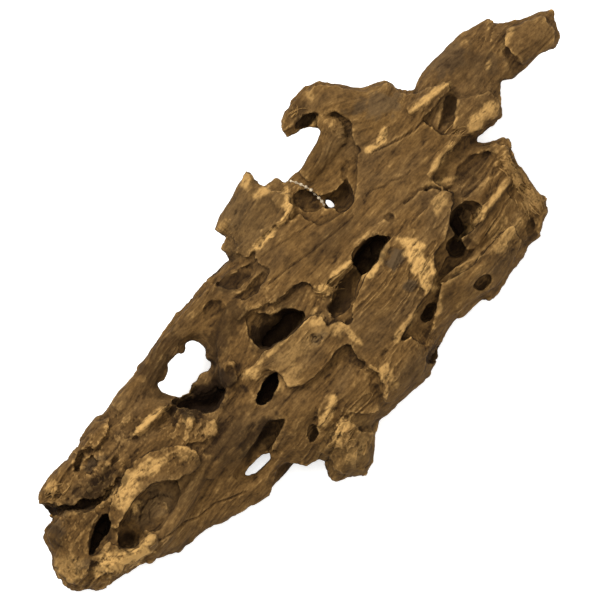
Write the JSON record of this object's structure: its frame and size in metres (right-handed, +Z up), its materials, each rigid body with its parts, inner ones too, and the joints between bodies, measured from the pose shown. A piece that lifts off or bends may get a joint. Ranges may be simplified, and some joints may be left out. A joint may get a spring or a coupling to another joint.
{
  "type": "driftwood piece",
  "caption": "Gnarled hollow piece of weathered dragon wood, long and tapering, with a see-through window, a knot bowl, a hooked limb and a broken crown limb.",
  "frame": {"origin": "middle of the piece's bounding box, on the surface that it lies on", "axes": "+X along the length, from the two-jawed head to the crown limb; +Z up, out of the face of the picture; +Y towards the hook"},
  "size_m": [0.3786, 0.1542, 0.0767],
  "materials": {
    "trunk_wood": "bare weathered wood, brown with pale worn ridges and dark hollows, dull, fine grain along the piece",
    "crown_wood": "bare weathered wood, a little greyer, dull, fine grain along the limb",
    "hook_wood": "bare weathered wood, warm brown, dull, smooth worn back on the hook",
    "shoulder_wood": "bare broken wood, pale torn edges, dull",
    "heel_wood": "bare broken wood, pale and fibrous, dull"
  },
  "bodies": {
    "root": {"trunk": "trunk_wood", "crown_branch": "crown_wood", "hook_branch": "hook_wood", "shoulder_stub": "shoulder_wood", "heel_spur": "heel_wood"}
  },
  "joints": []
}
